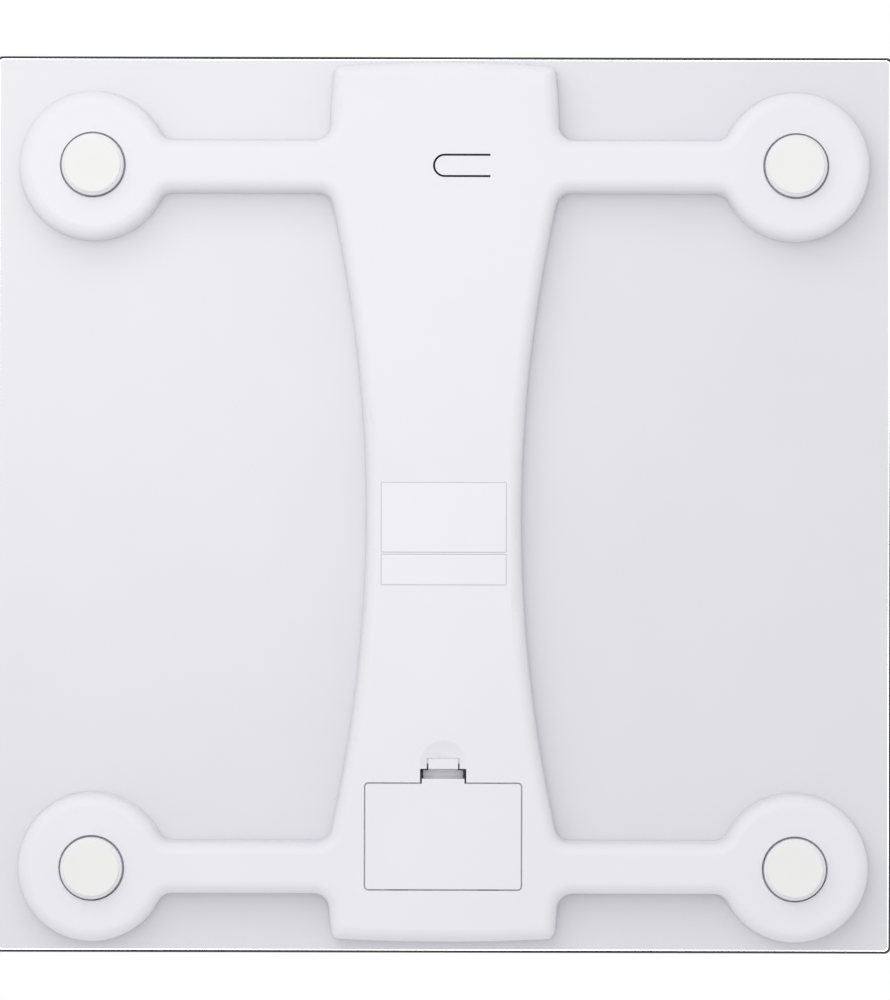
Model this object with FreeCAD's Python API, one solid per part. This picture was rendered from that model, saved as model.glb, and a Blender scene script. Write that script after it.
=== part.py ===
"""A digital bathroom scale: a glass platter on a one-piece moulded base with four load-cell feet.

Frame, in millimetres: +Z is up, the floor is z = 0 and the origin lies under the middle of the
glass. +Y points to the display end, called the front. +X is the right of a person who stands
on the scale and looks at the display.
"""
import FreeCAD, Part
import math
import os

V = FreeCAD.Vector

# ------------------------------------------------------------------ levels, from the floor up
ground_clearance = 4.5       # floor to the flat underside of the base
base_height = 13.5           # underside of the base to its rim
bond_thickness = 0.4         # line of adhesive between rim and platter
print_thickness = 0.2        # enamel printed on the back of the glass
glass_thickness = 5.0

# ------------------------------------------------------------------ glass platter
platter_size = 300.0
platter_corner_radius = 2.0
glass_edge_chamfer = 0.7
print_margin = 1.1           # bare glass left round the print
print_corner_radius = 1.5
window_length = 54.0         # clear window for the display
window_width = 23.0
window_corner_radius = 1.5

# ------------------------------------------------------------------ base, seen in plan
front_setback = 1.85         # glass beyond the bowed front end of the spine
rear_setback = 3.9           # glass beyond its rear end
waist_width = 52.0           # narrowest part of the spine
shoulder_margin = 13.5       # spine beyond the battery bay where the arms leave it
end_narrowing = 2.6          # spine narrower at its end corners than at the arms
front_bow = 1.6              # how far the front end bulges
rear_bow = 1.0
end_corner_radius = 3.0
pod_margin = 7.85            # glass beyond the pods
foot_offset = -4.0           # the feet's centre sits this far behind the platter's centre
arm_width = 17.8
pod_radius = 25.0
arm_fillet = 5.0             # plan fillet at both ends of each arm

# ------------------------------------------------------------------ base, its walls
wall = 2.0
wall_draft = 0.6             # how far the walls lean in from rim to underside
edge_radius = 4.0            # outer rounding round the underside
rib_thickness = 1.2
spine_rib_count = 6
spine_rib_rear = 15.9        # first rib of the spine in front of the battery bay
spine_rib_front = 18.0       # last rib of the spine behind the circuit board
arm_rib_root = 13.6          # rib of an arm beyond the spine
arm_rib_tip = 12.15          # rib of an arm before the pod
bead_width = 1.2
bead_setback = 0.4           # bead's outer edge behind the rim's outer edge

# ------------------------------------------------------------------ feet and load cells
foot_hole_radius = 11.0
foot_gap = 0.7               # round the cup, in its hole
foot_travel = 0.5            # drop of a foot when the scale is lifted
foot_slack = 0.2             # left under the flange at the end of that drop
cup_rim_radius = 1.0
pad_thickness = 1.0
pad_edge_radius = 0.3
flange_overhang = 1.6        # flange beyond the hole's edge
flange_thickness = 1.5
tray_thickness = 1.2
tray_wall = 1.2
tray_wall_height = 3.6       # above the tray's floor
cell_length = 29.0
cell_width = 23.0
cell_thickness = 2.0
cell_corner_radius = 1.5
cell_play = 0.3              # round the cell, in its tray
cell_ledge = 1.0             # height of the two ledges that carry the cell's frame
ledge_width = 3.0
cell_slot = 1.4              # width of the slots that free the cell's tongue
cell_frame = 3.6             # width of the cell's outer frame
tongue_width = 9.0
bearing_radius = 3.5
bearing_flange_radius = 6.0
bearing_flange_thickness = 2.0
guide_gap = 0.4              # between the tray and the posts that guide it
guide_thickness = 1.5
guide_length = 3.0
guide_setback = 4.5          # of those posts from the tray's corners
guide_height = 5.5
collar_gap = 0.6             # between the flange and the collar round it
collar_thickness = 1.2

# ------------------------------------------------------------------ battery bay, cells and door
battery_diameter = 10.5      # size AAA
battery_length = 44.5
battery_nub_diameter = 3.8
battery_nub_height = 1.0
battery_edge_radius = 0.6
battery_gap = 0.3            # between two batteries
battery_count = 3
battery_door_gap = 0.3       # between the batteries and the door
contact_room = 5.3           # for the contacts at the two ends of a battery
bay_side_gap = 0.5           # between the batteries and the bay's long walls
bay_wall = 1.5
bay_front_wall = 1.2
bay_headroom = 0.1
bay_pad_reach = 2.0          # thickened floor round the bay
bay_pad_thickness = 1.0
door_lap_side = 1.0          # door beyond the bay's ends
door_lap_end = 1.0           # door beyond the bay's long walls
door_setback = 18.1          # door in front of the rear end of the base
door_thickness = 1.5
door_gap = 0.5
door_corner_radius = 1.0
door_seat_gap = 0.1
door_rib_height = 1.5
door_rib_thickness = 1.0
lug_width = 6.0
lug_spread = 30.0            # between the middles of the two lugs
lug_reach = 1.6              # of a lug under the floor of the base
lug_thickness = 1.1
lug_gap = 0.2
lug_depth = 2.6              # of a lug's root on the door

# ------------------------------------------------------------------ door latch
latch_tab_width = 14.2
latch_notch_gap = 0.6        # each side of the tab
latch_tab_depth = 1.7        # of the tab beyond the door's edge
latch_spring_width = 13.3
latch_leg = 1.1              # thickness of the spring's legs
latch_bend_chamfer = 0.5     # outside the spring's bend
latch_bend_radius = 1.4      # inside the spring's bend, at its fixed leg
latch_channel = 3.3          # between the legs
latch_depth = 5.5            # of the channel, from the underside
lip_width = 9.9
lip_reach = 2.2              # of the lip beyond the outer leg
lip_thickness = 0.9
lip_recess = 0.1             # of the lip above the underside
lip_gap = 0.2                # between the lip and the pocket behind it
latch_side_gap = 0.5
latch_run = 0.6              # between the outer leg and the edge that it catches on
catch_overlap = 0.45
catch_gap = 0.3
catch_height = 0.9
latch_pad_thickness = 0.4    # added to the floor where the catch bears
latch_pad_width = 22.0
latch_pad_length = 14.0
scoop_radius = 7.8           # finger scoop in front of the lip
scoop_depth = 1.5

# ------------------------------------------------------------------ contacts
contact_thickness = 0.4
contact_height = 8.0
contact_width = 8.4
contact_bump_radius = 1.6
contact_bump_height = 0.5
leaf_width = 4.0
solder_tab_width = 2.4
solder_tab_height = 2.0
solder_tab_reach = 2.8       # beyond the wall of the bay
solder_tab_gap = 0.2         # round the tab, in the wall of the bay

# ------------------------------------------------------------------ unit button
button_width = 6.4
button_slot = 0.7
button_root_x = -15.3
button_tip_x = 3.15

# ------------------------------------------------------------------ display and electronics
board_side_gap = 4.1         # board inside the spine's end corners
board_width = 44.0
board_end_gap = 6.15         # board behind the front end of the base
board_thickness = 1.2
board_height = 3.5           # underside of the board above the floor of the base
board_corner_radius = 1.5
board_screw_inset = 2.5
board_boss_radius = 2.5
screw_radius = 0.9
screw_head_radius = 1.8
screw_head_height = 1.4
screw_depth = 3.0            # of a screw in its boss
screw_hole_gap = 0.2
display_lap_side = 2.0       # display beyond the ends of its window
display_lap_end = 2.5        # display beyond the long edges of its window
display_thickness = 2.6
display_setback = 20.0       # middle of the display behind the board's front edge
display_gap = 0.1            # between the display and the print
holder_wall = 1.3
holder_gap = 0.2
zebra_setback = 2.0          # strips inside the display's ends
zebra_width = 2.0
zebra_inset = 1.5
switch_size = 6.0
switch_height = 2.5
plunger_radius = 1.7
plunger_length = 0.8
plunger_socket = 1.2         # length of the plunger inside the switch
plunger_gap = 0.1
chip_radius = 6.5
chip_height = 1.4
chip_x = -16.0
chip_ahead = 7.0             # in front of the board's middle

# ------------------------------------------------------------------ leads
lead_width = 3.2             # three cores side by side
lead_thickness = 1.1
lead_gap = 0.25              # at both ends of a lead
lead_overlap = 2.0           # of a lead over the edge of the board
lead_lift = 0.1              # between the board and the leads and wires that end at it
wire_radius = 0.65
lane_gap = 0.3               # round a lead, in the slots of the ribs
lead_setback = 9.0           # lead inside the edge of the waist
wire_setback = 14.0          # battery wire inside the edge of the waist
lane_bay_run = 3.9           # straight run of both past the front of the battery bay
lane_slant = 40.0            # length over which both draw in towards the waist
lane_turn_radius = 9.0       # where a lead turns out of an arm
lane_bend_radius = 40.0      # where a lead bends towards the waist

# ------------------------------------------------------------------ rating label, left blank
label_margin = 5.0           # waist beyond the stickers' ends
label_width = 23.6
sub_label_width = 10.5
label_thickness = 0.12
label_ahead = 11.7           # front edge of the stickers in front of the waist
label_split = 0.35           # between the two stickers

# ------------------------------------------------------------------ levels worked out
face_z = ground_clearance
floor_z = face_z + wall
rim_z = face_z + base_height
print_z = rim_z + bond_thickness
glass_z = print_z + print_thickness
top_z = glass_z + glass_thickness

foot_x = platter_size / 2 - pod_margin - pod_radius
front_y = foot_offset + foot_x
rear_y = foot_offset - foot_x
CORNERS = {
    "front_left": (-foot_x, front_y),
    "front_right": (foot_x, front_y),
    "rear_left": (-foot_x, rear_y),
    "rear_right": (foot_x, rear_y),
}

cup_radius = foot_hole_radius - foot_gap
pad_radius = cup_radius - cup_rim_radius
flange_radius = foot_hole_radius + flange_overhang
flange_z = floor_z + foot_travel + foot_slack
tray_z = flange_z + flange_thickness
cell_z = tray_z + tray_thickness + cell_ledge
cell_top_z = cell_z + cell_thickness
tray_length = cell_length + 2 * (cell_play + tray_wall)
tray_width = cell_width + 2 * (cell_play + tray_wall)

battery_pitch = battery_diameter + battery_gap
bay_length = battery_length + contact_room
bay_width = (battery_count - 1) * battery_pitch + battery_diameter + 2 * bay_side_gap
front_reach = platter_size / 2 - front_setback
rear_reach = platter_size / 2 - rear_setback
shoulder_width = bay_length + 2 * shoulder_margin
end_width = shoulder_width - end_narrowing

door_length = bay_length + 2 * door_lap_side
door_width = bay_width + 2 * door_lap_end
bay_centre_y = door_setback + door_width / 2 - rear_reach
door_z = face_z + door_thickness
bay_ceiling_z = door_z + battery_door_gap + battery_diameter + bay_headroom
battery_z = door_z + battery_door_gap + battery_diameter / 2
door_front_y = bay_centre_y + door_width / 2
door_rear_y = bay_centre_y - door_width / 2
bay_front_y = bay_centre_y + bay_width / 2
bay_rear_y = bay_centre_y - bay_width / 2
hinge_y = door_rear_y - door_gap
hinge_z = face_z
lug_top_z = floor_z + lug_gap + lug_thickness

tab_front_y = door_front_y + latch_tab_depth
outer_leg_y = tab_front_y + latch_channel
catch_edge_y = outer_leg_y + latch_leg + latch_run
channel_z = face_z + latch_depth
latch_pivot_y = outer_leg_y + latch_leg / 2
latch_pivot_z = channel_z - latch_leg / 2

board_length = end_width - 2 * board_side_gap
board_front_y = front_reach - board_end_gap
board_centre_y = board_front_y - board_width / 2
board_rear_y = board_front_y - board_width
board_z = floor_z + board_height
board_top_z = board_z + board_thickness
display_length = window_length + 2 * display_lap_side
display_width = window_width + 2 * display_lap_end
display_centre_y = board_front_y - display_setback
display_z = print_z - display_gap - display_thickness
lead_z = board_top_z + lead_lift + lead_thickness / 2
wire_z = board_z - lead_lift - wire_radius
lane_bend_y = bay_front_y + lane_bay_run
narrow_y = lane_bend_y + lane_slant
spine_lane = waist_width / 2 - lead_setback
wire_lane = waist_width / 2 - wire_setback
label_front_y = foot_offset + label_ahead
UP = V(0, 0, 1)


# ------------------------------------------------------------------ helpers
def block(x0, x1, y0, y1, z0, z1):
    """A box between two corners."""
    return Part.makeBox(x1 - x0, y1 - y0, z1 - z0, V(x0, y0, z0))


def slab(length, width, z0, z1, x=0.0, y=0.0):
    """A box centred in plan on (x, y)."""
    return block(x - length / 2, x + length / 2, y - width / 2, y + width / 2, z0, z1)


def disc(radius, z0, z1, x=0.0, y=0.0):
    """An upright cylinder."""
    return Part.makeCylinder(radius, z1 - z0, V(x, y, z0), UP)


def fuse(shapes):
    """One solid out of several that touch."""
    return shapes[0].multiFuse(shapes[1:]).removeSplitter()


def is_upright(edge):
    """Is this a straight edge along Z?"""
    ends = edge.Vertexes
    if len(ends) != 2 or not isinstance(edge.Curve, Part.Line):
        return False
    return math.hypot(ends[0].X - ends[1].X, ends[0].Y - ends[1].Y) < 1e-6


def round_corners(solid, radius):
    """Round every upright edge."""
    return solid.makeFillet(radius, [e for e in solid.Edges if is_upright(e)])


def edges_at(solid, z):
    """The edges that lie in the plane at height z."""
    return [
        e for e in solid.Edges if abs(e.BoundBox.ZMin - z) < 1e-6 and abs(e.BoundBox.ZMax - z) < 1e-6
    ]


def side_profile(points, x0, x1):
    """A prism along X with the outline given as (y, z) points."""
    corners = [V(x0, y, z) for y, z in points]
    return Part.Face(Part.makePolygon(corners + corners[:1])).extrude(V(x1 - x0, 0, 0))


# ------------------------------------------------------------------ platter
def make_platter():
    """The glass: corners rounded, both edges chamfered."""
    glass = slab(platter_size, platter_size, glass_z, top_z)
    glass = round_corners(glass, platter_corner_radius)
    return glass.makeChamfer(glass_edge_chamfer, edges_at(glass, glass_z) + edges_at(glass, top_z))


def make_print():
    """The opaque print behind the glass, with its clear window."""
    size = platter_size - 2 * print_margin
    sheet = round_corners(slab(size, size, print_z, glass_z), print_corner_radius)
    window = slab(window_length, window_width, print_z, glass_z, y=display_centre_y)
    return sheet.cut(round_corners(window, window_corner_radius))


# ------------------------------------------------------------------ base
def toward(centre, point, distance):
    """The point at a distance from centre, on the way to another point."""
    return centre + (point - centre).normalize() * distance


def crossing(centre_a, reach_a, centre_b, reach_b):
    """Where two circles cross, on the left of the way from the second centre to the first."""
    span = (centre_a - centre_b).Length
    ahead = (centre_a - centre_b) * (1 / span)
    along = (span ** 2 + reach_b ** 2 - reach_a ** 2) / (2 * span)
    aside = math.sqrt(reach_b ** 2 - along ** 2)
    return centre_b + ahead * along + V(-ahead.y, ahead.x, 0) * aside


def outline_arc(centre, radius, start, end, growth, far=None):
    """One arc of the plan; growth says whether it widens or narrows as the plan is drawn in."""
    middle = far or toward(centre, (start + end) * 0.5, radius)
    return centre, radius, growth, (start, middle, end)


def waist_arc():
    """Centre and radius of the arc that draws in the right side of the spine."""
    chord = foot_x - arm_width / 2
    sag = (shoulder_width - waist_width) / 2
    radius = (chord ** 2 + sag ** 2) / (2 * sag)
    return V(waist_width / 2 + radius, foot_offset, 0), radius


def spine_half_width(y):
    """Half the width of the spine at y, between the arms."""
    waist, radius = waist_arc()
    return waist.x - math.sqrt(radius ** 2 - (y - waist.y) ** 2)


def bow_arc(end):
    """Arc of the front (1) or rear (-1) end: its reach from the middle, its bulge and its radius."""
    reach, bow = (front_reach, front_bow) if end > 0 else (rear_reach, rear_bow)
    return reach, bow, ((end_width / 2) ** 2 + bow ** 2) / (2 * bow)


def corner_arcs(end):
    """The arcs of one right-hand quarter, from the spine's end corner to its waist.

    They are worked out with y growing away from the middle of the base, and end turns them to
    the front (1) or the rear (-1). Concave fillets widen and convex arcs narrow when the plan
    is drawn in, so one list of arcs gives every parallel outline.
    """
    pod = V(foot_x, foot_x + end * foot_offset, 0)
    shoulder_x = shoulder_width / 2
    half = arm_width / 2
    bow_reach, bulge, bow_radius = bow_arc(end)
    bow = V(0, bow_reach - bow_radius, 0)
    run = bow_reach - bulge - pod.y - half
    lean = shoulder_x - end_width / 2
    flank_radius = (run ** 2 + lean ** 2) / (2 * lean)
    flank = V(shoulder_x - flank_radius, pod.y + half, 0)
    waist, waist_radius = waist_arc()
    waist.y *= end

    corner = crossing(bow, bow_radius - end_corner_radius, flank, flank_radius - end_corner_radius)
    corner_start = toward(bow, corner, bow_radius)
    corner_end = toward(flank, corner, flank_radius)
    fillet_y = half + arm_fillet
    root_x = flank.x + math.sqrt((flank_radius + arm_fillet) ** 2 - arm_fillet ** 2)
    root = V(root_x, pod.y + fillet_y, 0)
    reach = math.sqrt((pod_radius + arm_fillet) ** 2 - fillet_y ** 2)
    outer = V(pod.x - reach, pod.y + fillet_y, 0)
    inner = V(pod.x - reach, pod.y - fillet_y, 0)
    elbow_y = pod.y - fillet_y
    elbow_x = waist.x - math.sqrt((waist_radius - arm_fillet) ** 2 - (elbow_y - waist.y) ** 2)
    elbow = V(elbow_x, elbow_y, 0)

    upper = V(0, pod.y + half, 0)
    lower = V(0, pod.y - half, 0)
    arcs = [
        outline_arc(corner, end_corner_radius, corner_start, corner_end, -1),
        outline_arc(flank, flank_radius, corner_end, toward(flank, root, flank_radius), -1),
        outline_arc(root, arm_fillet, toward(flank, root, flank_radius), V(root.x, upper.y, 0), 1),
        outline_arc(outer, arm_fillet, V(outer.x, upper.y, 0), toward(pod, outer, pod_radius), 1),
        outline_arc(pod, pod_radius, toward(pod, outer, pod_radius), toward(pod, inner, pod_radius), -1,
                    V(pod.x + pod_radius, pod.y, 0)),
        outline_arc(inner, arm_fillet, toward(pod, inner, pod_radius), V(inner.x, lower.y, 0), 1),
        outline_arc(elbow, arm_fillet, V(elbow.x, lower.y, 0), toward(waist, elbow, waist_radius), 1),
    ]
    return [flipped(arc, 1, end) for arc in arcs]


def flipped(arc, sx, sy):
    """An arc mirrored in X, Y or both."""
    centre, radius, growth, points = arc
    return V(sx * centre.x, sy * centre.y, 0), radius, growth, tuple(V(sx * p.x, sy * p.y, 0) for p in points)


def turned_round(arcs):
    """The same arcs run the other way."""
    return [(c, r, g, points[::-1]) for c, r, g, points in reversed(arcs)]


def outline_arcs():
    """All arcs of the plan in order: up the right side, over the front and down the left."""
    front = corner_arcs(1)
    rear = corner_arcs(-1)
    waist, waist_radius = waist_arc()
    side = outline_arc(waist, waist_radius, rear[-1][3][2], front[-1][3][2], 1)
    right = rear + [side] + turned_round(front)
    left = [flipped(arc, -1, 1) for arc in turned_round(right)]
    ends = []
    for end, first, last in ((1, right, left), (-1, left, right)):
        bow_reach, _, bow_radius = bow_arc(end)
        bow = V(0, end * (bow_reach - bow_radius), 0)
        ends.append(outline_arc(bow, bow_radius, first[-1][3][2], last[0][3][0], -1))
    return right + ends[:1] + left + ends[1:]


def base_plan(inset=0.0):
    """The plan of the base, drawn in parallel to itself by inset, as one closed wire."""
    drawn = []
    for centre, radius, growth, points in outline_arcs():
        new_radius = max(radius + growth * inset, 0.2)
        drawn.append([toward(centre, point, new_radius) for point in points])
    edges = []
    for arc, following in zip(drawn, drawn[1:] + drawn[:1]):
        edges.append(Part.Arc(*arc).toShape())
        if arc[2].distanceToPoint(following[0]) > 1e-4:
            edges.append(Part.LineSegment(arc[2], following[0]).toShape())
    return Part.Wire(edges)


def drafted_form(inset, z0, rounding):
    """The base as a solid with leaning walls, drawn in by inset, its lower edges rounded."""
    upper = base_plan(inset)
    lower = base_plan(inset + wall_draft)
    upper.translate(V(0, 0, rim_z))
    lower.translate(V(0, 0, z0))
    form = Part.makeLoft([lower, upper], True, True)
    return form.makeFillet(rounding, edges_at(form, z0))


def lead_bay_x():
    """Where a lead passes the battery bay: midway between the bay and the wall of the spine."""
    bay_side = bay_length / 2 + bay_wall
    spine_side = spine_half_width(lane_bend_y) - wall_draft - wall
    return (bay_side + spine_side) / 2


def wire_bay_x():
    """Where a battery wire leaves its solder tab, flush with the tab's end."""
    return bay_length / 2 + bay_wall + solder_tab_reach - wire_radius


def lane_x(y, at_bay, at_waist):
    """Where a lead in the spine lies at y, between its places at the bay and at the waist."""
    share = (y - lane_bend_y) / (narrow_y - lane_bend_y)
    return at_bay + min(max(share, 0), 1) * (at_waist - at_bay)


def lead_notch(x, y, across, bottom):
    """The notch that a rib has for a lead: open upwards, across is the lead's slanting width."""
    return slab(across + 2 * lane_gap, rib_thickness * 3, bottom - lane_gap, rim_z + 1, x, y)


def spine_ribs():
    """Cross ribs of the spine, notched for the leads and the battery wires."""
    ribs = []
    first = bay_front_y + spine_rib_rear
    step = (board_rear_y - spine_rib_front - first) / (spine_rib_count - 1)
    for y in [first + index * step for index in range(spine_rib_count)]:
        rib = slab(shoulder_width, rib_thickness, floor_z - wall / 2, rim_z, y=y)
        for side in (-1, 1):
            lead_x = lane_x(y, lead_bay_x(), spine_lane)
            wire_x = lane_x(y, wire_bay_x(), wire_lane)
            rib = rib.cut(lead_notch(side * lead_x, y, lead_width + 0.6, lead_z - lead_thickness / 2))
            rib = rib.cut(lead_notch(side * wire_x, y, 2 * wire_radius + 0.6, wire_z - wire_radius))
        ribs.append(rib)
    return ribs


def arm_ribs():
    """Ribs across the arms, each with one notch that holds the lead."""
    ribs = []
    for x, y in CORNERS.values():
        side = math.copysign(1, x)
        for distance in (shoulder_width / 2 + arm_rib_root, foot_x - pod_radius - arm_rib_tip):
            rib = slab(rib_thickness, arm_width, floor_z - wall / 2, rim_z, side * distance, y)
            notch = slab(rib_thickness * 3, lead_width + 2 * lane_gap, lead_z - lead_thickness / 2 - lane_gap,
                         rim_z + 1, side * distance, y)
            ribs.append(rib.cut(notch))
    return ribs


def pod_guides(x, y):
    """Round one foot hole: a collar for the flange and six posts for the cell's tray."""
    inner = flange_radius + collar_gap
    collar_top = tray_z - foot_travel - foot_slack
    collar = disc(inner + collar_thickness, floor_z - wall / 2, collar_top, x, y)
    collar = collar.cut(disc(inner, floor_z - wall, collar_top + 1, x, y))
    z0 = floor_z - wall / 2
    z1 = floor_z + guide_height
    side_x = tray_length / 2 + guide_gap + guide_thickness / 2
    side_y = tray_width / 2 + guide_gap + guide_thickness / 2
    posts = [collar]
    for sx in (-1, 1):
        for sy in (-1, 1):
            posts.append(slab(guide_thickness, guide_length, z0, z1,
                              x + sx * side_x, y + sy * (tray_width / 2 - guide_setback)))
        posts.append(slab(guide_length, guide_thickness, z0, z1, x, y + sx * side_y))
    return posts


def board_bosses():
    """Four bosses with pilot holes that carry the board."""
    bosses = []
    for x, y in screw_places():
        boss = disc(board_boss_radius, floor_z - wall / 2, board_z, x, y)
        bosses.append(boss.cut(disc(screw_radius, board_z - screw_depth, board_z, x, y)))
    return bosses


def screw_places():
    """Where the board's four screws go."""
    dx = board_length / 2 - board_screw_inset
    dy = board_width / 2 - board_screw_inset
    return [(sx * dx, board_centre_y + sy * dy) for sx in (-1, 1) for sy in (-1, 1)]


def bay_walls():
    """The box moulded over the batteries, with the thicker floor round it."""
    x1 = bay_length / 2 + bay_wall
    y0 = bay_rear_y - bay_wall
    y1 = bay_front_y + bay_front_wall
    box = block(-x1, x1, y0, y1, floor_z - wall / 2, rim_z)
    reach = bay_pad_reach
    pad = block(-x1 - reach, x1 + reach, y0 - reach, y1, floor_z - wall / 2, floor_z + bay_pad_thickness)
    latch_pad = slab(latch_pad_width, latch_pad_length, floor_z - wall / 2,
                     floor_z + latch_pad_thickness, y=y1 + latch_pad_length / 2)
    return [box, pad, latch_pad]


def door_opening():
    """What is cut out of the base for the door, its lugs, its latch and the batteries."""
    recess = slab(door_length + 2 * door_gap, door_width + 2 * door_gap, face_z - 1,
                  door_z + door_seat_gap, y=bay_centre_y)
    recess = round_corners(recess, door_corner_radius + door_gap)
    well = slab(bay_length, bay_width, face_z - 1, bay_ceiling_z, y=bay_centre_y)
    cuts = [recess, well]
    swing_top = hinge_z + math.hypot(door_rear_y + lug_depth - hinge_y, lug_top_z - hinge_z) + lug_gap
    half = lug_width / 2 + lug_gap
    for x in lug_places():
        cuts.append(block(x - half, x + half, hinge_y - lug_reach - 2 * lug_gap, hinge_y, floor_z, swing_top))
        cuts.append(block(x - half, x + half, hinge_y, bay_rear_y + lug_gap, door_z, swing_top))
    notch_half = latch_tab_width / 2 + latch_notch_gap
    lip_half = lip_width / 2 + latch_side_gap
    cuts.append(block(-notch_half, notch_half, door_front_y, outer_leg_y, face_z - 1, floor_z + 1))
    cuts.append(block(-lip_half, lip_half, outer_leg_y - 1, catch_edge_y, face_z - 1, floor_z + 1))
    cuts.append(block(-lip_half, lip_half, outer_leg_y, outer_leg_y + latch_leg + lip_reach + lip_gap,
                      face_z - 1, face_z + lip_recess + lip_thickness + lip_gap))
    for index in (0, battery_count - 1):
        y, side = battery_row(index)
        side = side if index == 0 else -side
        x0, x1 = sorted((side * (bay_length / 2 - 1), side * (bay_length / 2 + bay_wall + bay_pad_reach + 1)))
        reach = solder_tab_width / 2 + solder_tab_gap
        rise = solder_tab_height / 2 + solder_tab_gap
        cuts.append(block(x0, x1, y - reach, y + reach, wire_z - rise, wire_z + rise))
    return cuts


def lug_places():
    """The middles of the two lugs along X."""
    return (-lug_spread / 2, lug_spread / 2)


def scoop():
    """The dished finger scoop: the cap of a ball, in front of the latch notch."""
    ball_radius = (scoop_radius ** 2 + scoop_depth ** 2) / (2 * scoop_depth)
    ball = Part.makeSphere(ball_radius, V(0, catch_edge_y, face_z + scoop_depth - ball_radius))
    return ball.common(block(-scoop_radius, scoop_radius, outer_leg_y, outer_leg_y + 2 * scoop_radius,
                             face_z - 1, floor_z))


def button_cut():
    """The U-shaped slot that frees the unit button."""
    radius = button_width / 2 + button_slot
    length = button_tip_x + button_slot - radius - button_root_x
    bar = block(button_root_x, button_root_x + length, front_y - radius, front_y + radius,
                face_z - 1, floor_z + 1)
    return bar.fuse(disc(radius, face_z - 1, floor_z + 1, button_root_x + length, front_y))


def make_base():
    """The one-piece base: a drafted shell with ribs, posts, bosses and the battery bay."""
    outer = drafted_form(0, face_z, edge_radius)
    inner = drafted_form(wall, floor_z, edge_radius - wall)
    fittings = spine_ribs() + arm_ribs() + board_bosses() + bay_walls()
    for x, y in CORNERS.values():
        fittings += pod_guides(x, y)
    inside = fittings[0].multiFuse(fittings[1:]).common(outer)
    base = outer.cut(inner).fuse(inside)
    holes = door_opening() + [scoop(), button_cut()]
    for x, y in CORNERS.values():
        holes.append(disc(foot_hole_radius, face_z - 1, floor_z + 1, x, y))
    return base.cut(holes[0].multiFuse(holes[1:])).removeSplitter()


def make_bead():
    """The line of adhesive that bonds the rim to the platter."""
    outer = Part.Face(base_plan(bead_setback))
    inner = Part.Face(base_plan(bead_setback + bead_width))
    ring = outer.cut(inner)
    ring.translate(V(0, 0, rim_z))
    return ring.extrude(V(0, 0, bond_thickness))


def make_button():
    """The unit button: a tongue with a round tip, freed by its slot."""
    radius = button_width / 2
    centre_x = button_tip_x - radius
    bar = block(button_root_x, centre_x, front_y - radius, front_y + radius, face_z, floor_z)
    return fuse([bar, disc(radius, face_z, floor_z, centre_x, front_y)])


# ------------------------------------------------------------------ feet
def make_pad(x, y):
    """The soft disc stuck under a foot."""
    pad = disc(pad_radius, 0, pad_thickness, x, y)
    return pad.makeFillet(pad_edge_radius, edges_at(pad, 0))


def make_cup(x, y):
    """A foot: round cup, flange that holds it in the base, and the tray for the load cell."""
    cup = disc(cup_radius, pad_thickness, flange_z, x, y)
    cup = cup.makeFillet(cup_rim_radius, edges_at(cup, pad_thickness))
    flange = disc(flange_radius, flange_z, tray_z, x, y)
    rim_top = tray_z + tray_thickness + tray_wall_height
    tray = round_corners(slab(tray_length, tray_width, tray_z, rim_top, x, y), cell_corner_radius + tray_wall)
    hollow = slab(tray_length - 2 * tray_wall, tray_width - 2 * tray_wall, tray_z + tray_thickness,
                  rim_top + 1, x, y)
    tray = tray.cut(round_corners(hollow, cell_corner_radius + cell_play))
    side = -math.copysign(1, x)
    notch = slab(tray_wall * 4, lead_width + 2, lead_z - lead_thickness / 2 - foot_slack, rim_top + 1,
                 x + side * tray_length / 2, y)
    tray = tray.cut(notch)
    ledge_y = (cell_width - ledge_width) / 2
    pieces = [cup, flange, tray]
    for sy in (-1, 1):
        pieces.append(slab(cell_length - 2 * cell_corner_radius, ledge_width,
                           tray_z + tray_thickness, cell_z, x, y + sy * ledge_y))
    return fuse(pieces)


def make_cell(x, y):
    """A load cell: a steel plate whose slots leave a tongue between two bending arms."""
    side = math.copysign(1, x)
    plate = slab(cell_length, cell_width, cell_z, cell_top_z, x, y)
    plate = round_corners(plate, cell_corner_radius)
    slot_y = tongue_width / 2 + cell_slot / 2
    slot_length = cell_length - 2 * cell_frame
    cuts = []
    for sy in (-1, 1):
        cuts.append(slab(slot_length, cell_slot, cell_z, cell_top_z, x, y + sy * slot_y))
    end_x = x + side * (slot_length - cell_slot) / 2
    cuts.append(slab(cell_slot, tongue_width + 2 * cell_slot, cell_z, cell_top_z, end_x, y))
    waist_x = x - side * (slot_length / 2 - cell_slot)
    cuts.append(slab(2 * cell_slot, cell_slot, cell_z, cell_top_z, waist_x, y))
    return plate.cut(cuts[0].multiFuse(cuts[1:]))


def make_bearing(x, y):
    """The block under the glass that presses on a load cell's tongue."""
    post = disc(bearing_radius, cell_top_z, print_z, x, y)
    return fuse([post, disc(bearing_flange_radius, print_z - bearing_flange_thickness, print_z, x, y)])


# ------------------------------------------------------------------ batteries and contacts
def battery_row(index):
    """(y, direction) of one battery; direction is the way its positive end points along X."""
    y = bay_centre_y + ((battery_count - 1) / 2 - index) * battery_pitch
    return y, (1 if index % 2 == 0 else -1)


def plate_x():
    """The inner face of the contact plates, from the middle."""
    return bay_length / 2 - contact_thickness


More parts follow.
